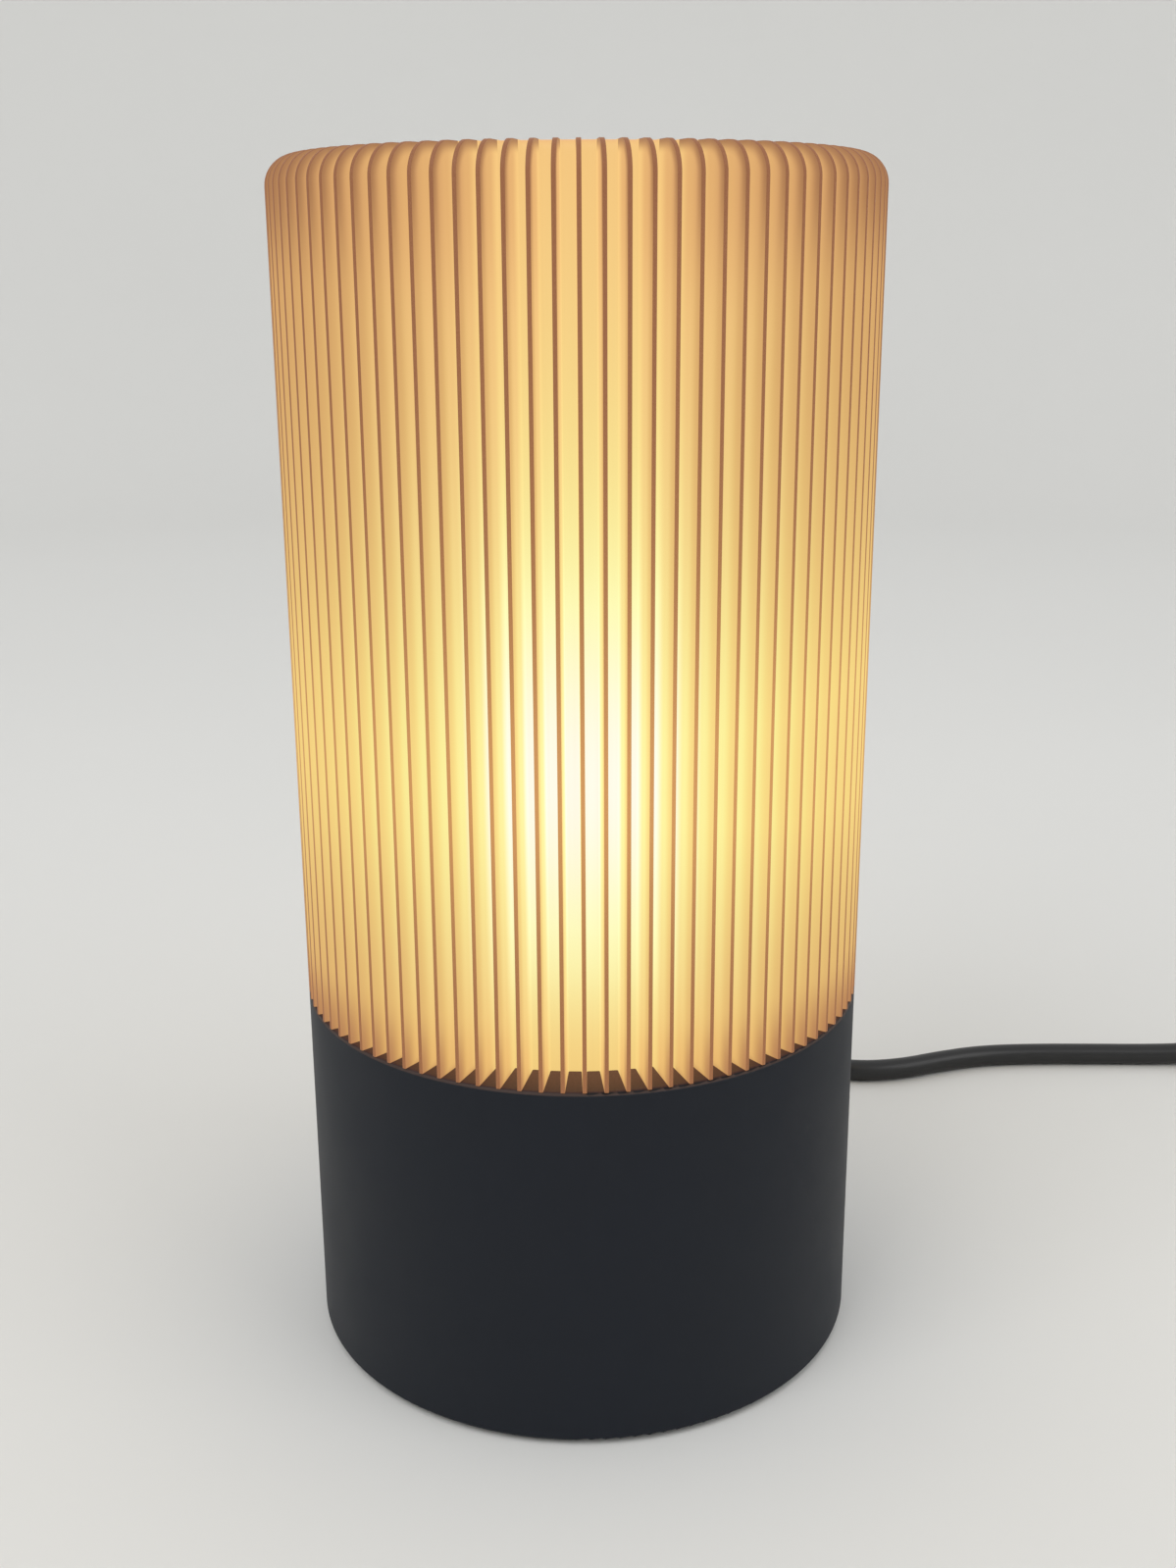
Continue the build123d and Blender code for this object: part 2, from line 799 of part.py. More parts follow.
def half_turn(start, middle, side, level):
    """Half circle in one level, clockwise seen from above, from start about a middle x."""
    radius = abs(start[0] - middle)
    low_point = (middle, coil_centre[1] - side * radius, level)
    end = (2 * middle - start[0], coil_centre[1], level)
    return ThreePointArc(start, low_point, end), end


pitch = cord_diameter + coil_gap
coil_centre = (coil_start[0] - coil_outer_radius, coil_start[1] - cord_diameter)
coil_lower = cord_radius
coil_upper = cord_radius + pitch


def coil_path():
    """Spiral of half circles inwards, half a turn that climbs, and a spiral outwards on top."""
    centre_x, centre_y = coil_centre
    shift = pitch / 2
    entry = (centre_x + coil_outer_radius, centre_y, coil_lower)
    edges = [Line((entry[0], centre_y + cord_diameter, coil_lower), entry)]
    place = entry
    side = 1
    for turn in range(coil_inward_half_turns):
        middle = centre_x if side == 1 else centre_x - shift
        arc, place = half_turn(place, middle, side, coil_lower)
        edges.append(arc)
        side = -side
    radius = place[0] - centre_x
    foot = Vector(*place)
    head = Vector(centre_x - radius, centre_y, coil_upper)
    ahead = Vector(0, -1, 0)
    joint = (foot + head) * 0.5 + ahead * ((head - foot).length / 2)
    edges.append(TangentArc(foot, joint, tangent=ahead))
    edges.append(TangentArc(joint, head, tangent=head - foot))
    place = (head.X, head.Y, head.Z)
    side = -1
    for turn in range(coil_outward_half_turns):
        middle = centre_x + shift if side == -1 else centre_x
        arc, place = half_turn(place, middle, side, coil_upper)
        edges.append(arc)
        side = -side
    edges.append(Line(place, (place[0], centre_y - cord_diameter, coil_upper)))
    return edges


def least_gap(edges):
    """Smallest space between parts of the coil that lie over two diameters apart along it."""
    points = []
    travelled = 0
    for edge in edges:
        steps = gap_test_points
        for step in range(steps):
            points.append((travelled + edge.length * step / steps, edge @ (step / steps)))
        travelled += edge.length
    least = coil_outer_radius
    for first, (here_along, here) in enumerate(points):
        for there_along, there in points[first + 1:]:
            if there_along - here_along > 2 * cord_diameter:
                least = min(least, (here - there).length - cord_diameter)
    return least


coil_edges = coil_path()
print("coil least gap to itself", round(least_gap(coil_edges), 3))
coil_end = coil_edges[-1] @ 1
plug_route = [
    (coil_end.X, coil_end.Y, coil_end.Z),
    (coil_end.X, 28, coil_end.Z),
    (308.8, 16, 8.3),
    (305.6, 4, 7),
    (303.5, -8, plug_thickness / 2),
    (303.5, -19.5, plug_thickness / 2),
]
plug_place = plug_route[-1]


# Switch

def switch_body():
    """Outer form of the closed switch, before it is parted and hollowed."""
    x, y, axis = switch_place
    length = switch_length - 2 * switch_sleeve_length
    plan = RectangleRounded(length, switch_width, switch_corner)
    body = extrude(plan, switch_height)
    body = fillet(body.edges().group_by(Axis.Z)[-1], switch_edge_rounding)
    body = fillet(body.edges().group_by(Axis.Z)[0], switch_edge_rounding / 2)
    sleeve = Plane.YZ.offset(-switch_length / 2) * Pos(0, axis)
    body += extrude(sleeve * Circle(switch_sleeve_radius), switch_length)
    return Pos(x + switch_length / 2, y, 0) * body


def switch_cavity(low, high):
    """Hollow for the contacts."""
    x, y, axis = switch_place
    length = switch_length - 2 * switch_sleeve_length - 2 * switch_end_wall
    width = switch_width - 2 * switch_wall
    return Pos(x + switch_length / 2, y, low) * extrude(Rectangle(length, width), high - low)


def switch_slab(low, high):
    """Slab that keeps the part of the body between two heights."""
    x, y, axis = switch_place
    size = switch_length + 2 * cut_overrun
    return Pos(x + switch_length / 2, y, low) * extrude(Rectangle(size, size), high - low)


def switch_screw_places():
    """Middle of the two screws that close the switch."""
    x, y, axis = switch_place
    return [(x + switch_length / 2 + side * switch_screw_offset, y) for side in (-1, 1)]


def switch_lower_shell():
    """Lower half of the switch, with seats for its screws."""
    shell = switch_body() & switch_slab(0, switch_axis_height)
    shell -= switch_cavity(switch_wall, switch_axis_height + cut_overrun)
    for x, y in switch_screw_places():
        shell += post(switch_post_radius, switch_wall / 2, switch_axis_height, x, y)
        shell -= post(shell_screw[0] + seat_gap, -cut_overrun, shell_screw[1] + seat_gap, x, y)
        shell -= screw_hole(shell_screw, 0, switch_axis_height + cut_overrun, x, y)
    return shell


def switch_upper_shell():
    """Upper half of the switch, with the opening for the rocker."""
    split = switch_axis_height + seat_gap
    shell = switch_body() & switch_slab(split, switch_height)
    shell -= switch_cavity(split - cut_overrun, switch_height - switch_wall)
    x, y, axis = switch_place
    for place_x, place_y in switch_screw_places():
        shell += post(switch_post_radius, split, switch_height - switch_wall / 2, place_x, place_y)
        shell -= screw_hole(shell_screw, 0, shell_screw[1] + shell_screw[3] + rest_gap, place_x, place_y)
    opening = Rectangle(rocker_length + 2 * rest_gap, rocker_width + 2 * rest_gap)
    shell -= Pos(x + switch_length / 2, y, split) * extrude(opening, switch_height)
    return shell


rocker_axis_height = switch_height - switch_wall - rocker_pivot_radius - rest_gap


def switch_rocker():
    """Rocker with a shallow V on top and ends round its axle, tilted to its on position."""
    x, y, axis = switch_place
    top = switch_height - rocker_axis_height + rocker_rise
    half = rocker_length / 2
    dip = half * tan(radians(rocker_tilt))
    outline = Polyline(
        (-half, top),
        (0, top - dip),
        (half, top),
        (half, top - dip - rocker_rise),
        (rocker_pivot_radius, -rocker_depth + rocker_pivot_radius),
        (-rocker_pivot_radius, -rocker_depth + rocker_pivot_radius),
        (-half, top - dip - rocker_rise),
        close=True,
    )
    rocker = extrude(Plane.XZ * make_face(outline), rocker_width / 2, both=True)
    rocker &= extrude(Plane.XZ * Circle(half), rocker_width, both=True)
    axle = Plane.XZ * Circle(rocker_pivot_radius)
    rocker += extrude(axle, rocker_width / 2 + rocker_axle_reach, both=True)
    return Pos(x + switch_length / 2, y, rocker_axis_height) * Rot(0, rocker_tilt, 0) * rocker


def switch_contacts():
    """Two brass bars on the switch's floor, with a gap that the rocker bridges."""
    x, y, axis = switch_place
    middle = x + switch_length / 2
    bars = []
    for side in (-1, 1):
        place = middle + side * (bar_gap + bar_length) / 2
        bar = Rectangle(bar_length, bar_width)
        bars.append(Pos(place, y, switch_wall) * extrude(bar, bar_thickness))
    return bars


def switch_screws():
    """Screws that close the switch from below."""
    seat = shell_screw[1] + seat_gap
    return [Pos(x, y, seat) * Rot(180, 0, 0) * screw(shell_screw) for x, y in switch_screw_places()]


# Plug

def plug_body():
    """Flat two-pin plug, drawn in at its waist, with a round neck for the cord."""
    neck_end = plug_neck_length
    waist = plug_waist_width / 2
    front = plug_front_width / 2
    shoulder = (plug_length + neck_end) / 2
    plan = Polyline(
        (-plug_neck_radius, -neck_end / 2),
        (-waist, -neck_end),
        (-front, -shoulder),
        (-front, -plug_length),
        (front, -plug_length),
        (front, -shoulder),
        (waist, -neck_end),
        (plug_neck_radius, -neck_end / 2),
        close=True,
    )
    body = extrude(make_face(plan), plug_thickness / 2, both=True)
    body = fillet(body.edges().group_by(Axis.Z)[-1], plug_edge_rounding)
    body = fillet(body.edges().group_by(Axis.Z)[0], plug_edge_rounding)
    neck = Plane.XZ * Circle(plug_neck_radius)
    body += extrude(neck, neck_end)
    return Pos(*plug_place) * body


def plug_pins():
    """Two round pins."""
    pins = []
    for side in (-1, 1):
        pin = Plane.XZ.offset(plug_length) * Pos(side * pin_spacing / 2, 0)
        rod = extrude(pin * Circle(pin_radius), pin_length)
        rod = fillet(rod.edges().sort_by(Axis.Y)[0], pin_tip_rounding)
        pins.append(Pos(*plug_place) * rod)
    return pins


nodes = {
    "base_shell": base_shell(),
    "bottom_cover": bottom_cover(),
    "foot_pads": foot_pads(),
    "cover_screws": upward_screws(cover_screw, boss_circle),
    "ballast_plate": ballast_plate(),
    "ballast_screws": upward_screws(ballast_screw, ballast_screw_circle),
    "holder_strap": holder_strap(),
    "strap_screws": strap_screws(),
    "holder_nipple": holder_nipple(),
    "nipple_nut": nipple_nut(),
    "holder_cap": holder_cap(),
    "holder_sleeve": holder_sleeve(),
    "holder_core": holder_core(),
    "holder_screw_shell": holder_screw_shell(),
    "holder_contact_leaf": holder_contact_leaf(),
    "holder_terminals": holder_terminals(),
    "shade": shade(),
    "bulb_globe": bulb_globe(),
    "bulb_collar": bulb_collar(),
    "bulb_cap": bulb_cap(),
    "bulb_insulator": bulb_insulator(),
    "bulb_contact": bulb_contact(),
    "emitter_board": emitter_board(),
    "driver_board": driver_board(),
    "strain_relief": strain_relief(),
    "lead_jacket": lead_jacket(),
    "lead_live": lead_wire(-1),
    "lead_neutral": lead_wire(1),
    "cord_clamp": cord_clamp(),
    "clamp_screws": clamp_screws(),
    "cord_lead": routed_cord("cord_lead", lead_route),
    "switch_lower_shell": switch_lower_shell(),
    "switch_upper_shell": switch_upper_shell(),
    "switch_rocker": switch_rocker(),
    "switch_contacts": switch_contacts(),
    "switch_screws": switch_screws(),
    "cord_tail": routed_cord("cord_tail", tail_route),
    "cord_coil": cord_tube("cord_coil", Wire(coil_edges)),
    "cord_plug_end": routed_cord("cord_plug_end", plug_route),
    "plug_body": plug_body(),
    "plug_pins": plug_pins(),
}

for name, shape in nodes.items():
    solids = shape if isinstance(shape, list) else [shape]
    whole = solids[0] if len(solids) == 1 else Compound(children=solids)
    export_step(whole, f"parts/{name}.step")
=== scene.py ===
# %% [markdown]
# A lit table lamp: a plain dark base under a translucent shade with deep vertical fins.
# The packed model is loaded first. It gives every piece its size and its place, and a new surface
# takes its outer measures from the piece that it stands for, so that it lands in the same place.

# %% Load the frame
import json
from math import cos, pi, radians, sin

import bmesh
import bpy
import numpy as np
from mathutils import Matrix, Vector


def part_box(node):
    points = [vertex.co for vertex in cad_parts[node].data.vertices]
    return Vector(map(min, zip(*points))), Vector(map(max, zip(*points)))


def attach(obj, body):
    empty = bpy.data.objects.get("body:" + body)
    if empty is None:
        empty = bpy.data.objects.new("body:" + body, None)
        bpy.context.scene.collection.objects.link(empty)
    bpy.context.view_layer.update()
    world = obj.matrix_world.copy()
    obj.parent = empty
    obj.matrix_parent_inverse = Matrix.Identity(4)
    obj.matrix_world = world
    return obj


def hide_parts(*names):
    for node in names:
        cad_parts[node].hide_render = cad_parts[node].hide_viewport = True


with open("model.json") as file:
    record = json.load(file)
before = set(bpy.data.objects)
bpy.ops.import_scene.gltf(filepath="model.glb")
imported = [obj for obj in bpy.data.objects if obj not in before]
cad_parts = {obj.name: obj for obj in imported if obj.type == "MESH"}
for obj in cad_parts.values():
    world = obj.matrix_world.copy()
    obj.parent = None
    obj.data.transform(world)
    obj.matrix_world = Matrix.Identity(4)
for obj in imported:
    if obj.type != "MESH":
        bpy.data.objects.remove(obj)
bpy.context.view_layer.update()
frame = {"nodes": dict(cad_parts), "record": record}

nodes = frame["nodes"]
mm = 0.001

# %% [markdown]
# The camera is the one that took the photograph. Its lens, height and tilt were worked out from
# the outline of the shade and the base, in radii of the lamp, and one radius is 60 mm. A camera
# could be aimed with a constraint, but a matrix says all at once: three directions and a place,
# which are right, up and backwards, and where the lens stands.

# %% Camera
lamp_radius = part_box("base_shell")[1][0]
camera_distance = 5.955 * lamp_radius
camera_height = 3.842 * lamp_radius
camera_pitch = radians(16.88)
camera_yaw = radians(0.25)
camera_roll = radians(-0.31)
camera_turn = radians(-0.36)        # one fin points a little to the right of the lens
photo_height_px = 1599
focal_px = 1767.6
sensor_mm = 36.0


def turned_about_axis(vector, angle):
    """Rotates a direction about the upright axis."""
    x, y, z = vector
    return np.array((x * cos(angle) - y * sin(angle), x * sin(angle) + y * cos(angle), z))


forward = np.array((
    sin(camera_yaw) * cos(camera_pitch), cos(camera_yaw) * cos(camera_pitch), -sin(camera_pitch),
))
level_right = np.array((cos(camera_yaw), -sin(camera_yaw), 0.0))
level_up = np.cross(level_right, forward)
right = cos(camera_roll) * level_right + sin(camera_roll) * level_up
up = cos(camera_roll) * level_up - sin(camera_roll) * level_right
place = np.array((0.0, -camera_distance, camera_height))

camera_data = bpy.data.cameras.new("camera")
camera_data.sensor_width = sensor_mm
camera_data.lens = focal_px / photo_height_px * sensor_mm
camera = bpy.data.objects.new("camera", camera_data)
bpy.context.scene.collection.objects.link(camera)
axes = [turned_about_axis(v, camera_turn) for v in (right, up, -forward, place)]
camera_matrix = np.eye(4)
camera_matrix[:3, :] = np.array(axes).T
camera.matrix_world = camera_matrix.T.tolist()
bpy.context.scene.camera = camera
print("lens", round(camera_data.lens, 2), "mm")

# %% [markdown]
# The cord is one length of round flex with a switch in it. A flexible cord never has a corner, so
# each stretch is a smooth spline whose control points are the route's points. It leaves the base
# at the back, sinks to the table, turns to the right and rises into the switch.

# %% Cord routes
cord_diameter = 6 * mm
lead_points = np.array([
    (0, 80, 14.3), (0, 91.5, 14.3), (3.9, 102.3, 12.8), (11.3, 111.1, 10.4), (21.7, 117.1, 7.6),
    (34.5, 119.6, 5), (47.5, 117.4, 3.4), (59, 111.4, 3), (69.5, 105, 3), (81.5, 101.6, 3),
    (94, 103, 3), (106, 107.6, 3), (119, 111.2, 3), (134, 112, 3), (151, 111.6, 3), (167, 111, 3),
    (180, 110.4, 3.4), (192, 110, 5.2), (203, 110, 7), (212, 110, 7),
]) * mm
tail_points = np.array([
    (270, 110, 7), (281.5, 110, 7), (292.3, 106.1, 5.8), (301.1, 98.7, 4.3), (307.1, 88.3, 3.2),
    (309.8, 75.6, 3), (310.3, 63, 3), (310.3, 51, 3),
]) * mm
plug_points = np.array([
    (310.3, 39, 9.5), (310.3, 28, 9.5), (308.8, 16, 8.3), (305.6, 4, 7), (303.5, -8, 6.8),
    (303.5, -19.5, 6.8),
]) * mm
print(len(lead_points), "points to the switch,", len(tail_points) + len(plug_points), "by the coil")

# %% [markdown]
# The part of the cord that the photograph doesn't show is wound up for storage beside the lamp,
# past the edge of the view: a spiral that runs in along the table, climbs one layer and runs out
# again on top of itself. Half circles about two centres make it, because then every turn meets
# the next one smoothly and the ends come out straight.

# %% Coil
coil_radius = 45 * mm
coil_pitch = 6.5 * mm
coil_half_turns = 12
coil_climb_turn = 6
coil_points_per_half_turn = 8


def coil_points():
    """Half circles clockwise about two centres in turn, so that each is half a pitch smaller.

    The seventh half turn climbs by one pitch, and the way out mirrors the way in. A spline runs
    inside its control points by a known share, which the radius gives back.
    """
    x = tail_points[-1][0]
    y, z = tail_points[-1][1] - cord_diameter, tail_points[-1][2]
    middle = x - coil_radius
    step = pi / coil_points_per_half_turn
    outward = 1 / (0.75 + 0.25 * cos(step))
    along = step * (np.arange(coil_points_per_half_turn) + 0.5)
    rows = []
    for turn in range(coil_half_turns):
        upper_half = turn % 2 == 1
        shift = coil_pitch / 2 * upper_half
        centre = middle - shift if turn < coil_climb_turn else middle + shift
        radius = abs(x - centre) * outward
        angle = (pi if upper_half else 0) - along
        climb = coil_pitch * (1 - np.cos(along)) / 2 if turn == coil_climb_turn else 0 * along
        rows.append(np.stack((centre + radius * np.cos(angle), y + radius * np.sin(angle), z + climb), 1))
        x = 2 * centre - x
        z += coil_pitch * (turn == coil_climb_turn)
    return np.concatenate(rows)


print("coil of", coil_half_turns // 2, "turns,", round(2 * coil_radius / cord_diameter), "cords across")

# %% [markdown]
# A cord could be a mesh tube, but a curve with a bevel stays round at every bend and needs only
# its route. The bevel of one times each point's own radius gives the thickness.

# %% Cords


def cord(name, points):
    """Round tube along a smooth spline with the given control points.

    Each point holds the cord's radius and the bevel is one, so that the curve's box is true.
    """
    curve = bpy.data.curves.new(name, "CURVE")
    curve.dimensions = "3D"
    curve.bevel_depth = 1.0
    curve.bevel_resolution = 6
    curve.resolution_u = 10
    curve.use_fill_caps = True
    spline = curve.splines.new("NURBS")
    spline.points.add(len(points) - 1)
    spline.points.foreach_set("co", np.column_stack((points, np.ones(len(points)))).ravel())
    spline.points.foreach_set("radius", np.full(len(points), cord_diameter / 2))
    spline.order_u = 3
    spline.use_endpoint_u = True
    piece = bpy.data.objects.new(name, curve)
    bpy.context.scene.collection.objects.link(piece)
    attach(piece, "root")
    print(name, len(points), "points")
    return piece


lead = cord("cord_to_switch", lead_points)
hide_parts("cord_lead")
tail = cord("cord_to_plug", np.concatenate((tail_points, coil_points(), plug_points)))
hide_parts("cord_tail", "cord_coil", "cord_plug_end")

# %% [markdown]
# The other new pieces are grids: rows of points that are carried along or turned about an axis.
# One helper turns such a grid into faces, closed round its columns. The other makes the object,
# and merging its doubles closes a row that has shrunk to a point.

# %% Grid surfaces
merge_distance = 0.001 * mm


def ring_faces(rows, columns):
    """Quads between neighbouring rows of a grid that closes round its columns."""
    row, column = np.meshgrid(np.arange(rows - 1), np.arange(columns), indexing="ij")
    here = row * columns + column
    beside = row * columns + (column + 1) % columns
    return np.stack((here, beside, beside + columns, here + columns), -1).reshape(-1, 4).tolist()


def piece_from(name, points, faces, body, node, crease):
    """Object from points and faces, smooth except where two faces meet at more than the crease."""
    mesh = bpy.data.meshes.new(name)
    mesh.from_pydata(points, [], faces)
    work = bmesh.new()
    work.from_mesh(mesh)
    bmesh.ops.remove_doubles(work, verts=work.verts, dist=merge_distance)
    work.to_mesh(mesh)
    work.free()
    mesh.shade_smooth()
    mesh.set_sharp_from_angle(angle=radians(crease))
    piece = bpy.data.objects.new(name, mesh)
    bpy.context.scene.collection.objects.link(piece)
    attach(piece, body)
    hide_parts(node)
    print(name, len(mesh.polygons), "faces")
    return piece


# %% [markdown]
# The shade is one moulding: a thin cup upside down with a fin at every four degrees. One fin could
# be copied ninety times, but the copies would have to be joined to the cup. Seen from the outside
# it is all one sheet that goes in and out, so one grid makes it, with no joins.

# %% Shade measures
(_, shade_front, shade_low), (_, _, shade_high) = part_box("shade")
tip_radius = -shade_front
fin_count = 90
fin_depth = 9.4 * mm
tip_half = 0.4 * mm
root_half = 0.5 * mm
tip_rounding = 0.15 * mm            # a mould never leaves a sharp edge
root_fillet = 0.3 * mm
over_top = 5.8 * mm                 # rounding of the fins over the top edge
wall_radius = tip_radius - fin_depth
wall_rounding = 1.8 * mm
wall_thickness = 2 * mm
top_thickness = 3 * mm
half_pitch = pi / fin_count
print(fin_count, "fins", round(fin_depth / mm, 1), "mm deep, wall radius", round(wall_radius / mm, 1))

# %% [markdown]
# Two paths carry the sheet from foot to top: the fins' outer edge, which bends over the top in a
# wide arc, and the cup's wall, which has its own small rounding. Both have as many points, so
# that a row of the grid can go to and fro between them, fin by fin.

# %% Shade paths
arc_steps = 12


def quarter(centre, radius, start, sweep, steps=6):
    """Arc of an outline, from a start angle through a sweep, both in degrees."""
    angle = np.radians(start + sweep * np.arange(steps + 1) / steps)
    return np.stack((centre[0] + radius * np.cos(angle), centre[1] + radius * np.sin(angle)), 1)


def carried_paths():
    """The outer and the inner path as matching rows of (radius, height), from foot to top."""
    bend = quarter((tip_radius - over_top, shade_high - over_top), over_top, 0, 90, arc_steps)
    shoulder = quarter(
        (wall_radius - wall_rounding, shade_high - wall_rounding), wall_rounding, 0, 90, arc_steps // 2
    )
    straight = np.linspace(bend[0][1], shoulder[0][1], arc_steps // 2 + 1)[:-1]
    wall = np.stack((0 * straight + wall_radius, straight), 1)
    outer = np.vstack(([tip_radius, shade_low], bend))
    return outer, np.vstack(([wall_radius, shade_low], wall, shoulder))


outer_path, inner_path = carried_paths()
print(len(outer_path), "points on each path")

# %% [markdown]
# A row is one fin's outline ninety times. The fin is worked out for one side only and mirrored,
# so that it can't come out crooked. Across the sheet the grid follows the fin's own edges: a
# rounded tip, a side that widens inwards, and a small fillet at the root.

# %% Fins


def half_fin_columns():
    """Half of one fin as (share of the depth, length inwards, offset sideways), from tip to root.

    The tip's edge and the root's fillet are quarter circles, and the side widens to the root.
    """
    turn = np.radians((0, 30, 60, 90))
    gain, rest = 1 - np.cos(turn), 1 - np.sin(turn)
    edge = [(0, tip_rounding * a, tip_half - tip_rounding * b) for a, b in zip(gain, rest)]
    side = [(share, 0, tip_half + (root_half - tip_half) * share) for share in (0.25, 0.5, 0.75)]
    fillet = [(1, -root_fillet * b, root_half + root_fillet * a) for a, b in zip(gain, rest)]
    return np.array([(0, 0, 0)] + edge + side + fillet)


def ribbed_grid(outer, inner):
    """Points of the ribbed outside as rows by columns, and the angle of each column.

    A point lies on the line from the outer to the inner path, at its column's share, and its
    angle is its offset over its radius. The valley's middle lies half a pitch from the fin's.
    """
    share, length, offset = half_fin_columns().T
    share = share + length / np.hypot(*(outer - inner).T)[:, None]
    spot = outer[:, None] * (1 - share[..., None]) + inner[:, None] * share[..., None]
    spot = np.concatenate((spot, inner[:, None]), 1)
    radius, height = spot[..., 0], spot[..., 1]
    angle = np.column_stack((offset / radius[:, :-1], 0 * radius[:, 0] + half_pitch))
    radius, height = (np.hstack((part[:, :0:-1], part))[:, :-1] for part in (radius, height))
    angle = np.hstack((-angle[:, :0:-1], angle))[:, :-1]
    turns = np.arange(fin_count) * 2 * half_pitch - pi / 2
    angle = (angle[:, None, :] + turns[None, :, None]).reshape(len(radius), -1)
    radius, height = np.tile(radius, (1, fin_count)), np.tile(height, (1, fin_count))
    return np.stack((radius * np.cos(angle), radius * np.sin(angle), height), -1), angle[0]


ribbed, ring_angle = ribbed_grid(outer_path, inner_path)
print("ribbed outside of", ribbed.shape[0], "rows and", ribbed.shape[1], "columns")

# %% [markdown]
# The rest of the shade is turned, with as many columns as the ribbed outside so that the two join
# point to point: the smooth bore, and a flat ceiling. The foot is open, and its narrow rim joins
# the bore to the ribs. The top is one flat face that fills the outline of all the fins.

# %% Shade surface
bore_radius = wall_radius - wall_thickness
bore_rounding = 3 * mm
ceiling = shade_high - top_thickness
bore_profile = quarter((bore_radius - bore_rounding, ceiling - bore_rounding), bore_rounding, 90, -90)
bore_profile = np.vstack((bore_profile, [bore_radius, shade_low]))
bore_radii, bore_heights = bore_profile[:, :1], bore_profile[:, 1:]
bore = np.stack((
    bore_radii * np.cos(ring_angle), bore_radii * np.sin(ring_angle), bore_heights + 0 * ring_angle,
), -1)
shade_rows = np.concatenate((bore, ribbed))
ring_columns = len(ring_angle)
last_row = (len(shade_rows) - 1) * ring_columns
shade_faces = ring_faces(len(shade_rows), ring_columns)
shade_faces.append(list(range(ring_columns))[::-1])
shade_faces.append(list(range(last_row, last_row + ring_columns)))
shade_piece = piece_from(
    "ribbed_shade", shade_rows.reshape(-1, 3), shade_faces, "shade", "shade", crease=40,
)
for face in shade_piece.data.polygons[-2:]:
    face.use_smooth = False

# %% [markdown]
# The cord leaves the base through a strain relief, a soft sleeve that keeps the cord from kinking.
# It tapers almost to the cord's size, and grooves cut it into rings so that it bends evenly. A bump in
# the finish would leave its outline smooth, so the grooves are in the outline that is turned. It
# is turned like a bottle, but about the axis on which the cord comes out.

# %% Strain relief outline
sleeve_start = 53.9 * mm            # all along the cord's axis, from the middle of the lamp
flange_end = 56.4 * mm
collar_start = 60.05 * mm
collar_end = 63.05 * mm
groove_start = 64.5 * mm
sleeve_end = lead_points[0][1]
flange_radius = 6.5 * mm
neck_radius = 5 * mm
collar_radius = 6.8 * mm
collar_chamfer = 0.3 * mm
shoulder_depth, shoulder_length = 0.6 * mm, 0.65 * mm
sleeve_foot, sleeve_tip = 5.6 * mm, 3.9 * mm
groove_count = 5
groove_depth = 0.6 * mm
groove_steps = 16


def grooved_taper():
    """Outline of the taper: straight from foot to tip, less a rounded groove at equal steps.

    A groove is the upper half of a sine wave, doubled and cut off at one, so its floor is flat.
    """
    along = np.linspace(0, 1, groove_count * groove_steps + 1)
    wave = np.clip(np.sin(along * groove_count * 2 * pi) * 2, 0, 1)
    radius = sleeve_foot + (sleeve_tip - sleeve_foot) * along - groove_depth * wave
    return np.stack((radius, groove_start + (sleeve_end - groove_start) * along), 1)


sleeve_outline = np.vstack((
    (0, sleeve_start), (flange_radius, sleeve_start), (flange_radius, flange_end),
    (neck_radius, flange_end), (neck_radius, collar_start),
    (collar_radius - collar_chamfer, collar_start), (collar_radius, collar_start + collar_chamfer),
    (collar_radius, collar_end - shoulder_length), (collar_radius - shoulder_depth, collar_end),
    (sleeve_foot, collar_end), grooved_taper(), (0, sleeve_end),
))
print(groove_count, "grooves,", len(sleeve_outline), "points of outline")

# %% [markdown]
# The outline is turned about the upright axis first, as that is the simplest formula. Swapping
# the coordinates then lays the sleeve down along the cord and lifts it to the cord's height.

# %% Strain relief
sleeve_columns = 72


def turned_grid(profile, columns):
    """Points of an outline of (radius, height) turned about the upright axis.

    A point's place is its radius times the cosine and the sine of the column's angle, and its
    height stays.
    """
    angle = np.arange(columns) * 2 * pi / columns
    radius, height = profile[:, :1], profile[:, 1:]
    flat = (radius * np.cos(angle), radius * np.sin(angle), height + 0 * angle)
    return np.stack(flat, -1).reshape(-1, 3)


across, down, along_cord = turned_grid(sleeve_outline, sleeve_columns).T
sleeve_points = np.stack((-across, along_cord, down + lead_points[0][2]), -1)
sleeve = piece_from(
    "grooved_sleeve", sleeve_points, ring_faces(len(sleeve_outline), sleeve_columns), "root",
    "strain_relief", crease=35,
)

# %% [markdown]
# A finish is a set of nodes that work on numbers. They read best as ordinary sums, so one small
# class wraps a socket and lets arithmetic build the Math nodes. Every node, for a sum or not,
# comes from one method, which takes its type, its settings and the values of its sockets. The
# fields and the materials both have it, from a class that they share.

# %% Sums that build nodes


def feed(socket, value):
    """Links a field, or sets a plain value."""
    if isinstance(value, Field):
        value.tree.links.new(value.socket, socket)
    else:
        socket.default_value = value


class Nodes:
    """What belongs to a tree of nodes, and can add to it."""

    def node(self, kind, settings=None, values=None, output=0):
        """Any node, with its settings made first and then its sockets, by name or number."""
        node = self.tree.nodes.new("ShaderNode" + kind)
        for name, value in (settings or {}).items():
            setattr(node, name, value)
        for name, value in (values or {}).items():
            feed(node.inputs[name], value)
        return Field(node.outputs[output])


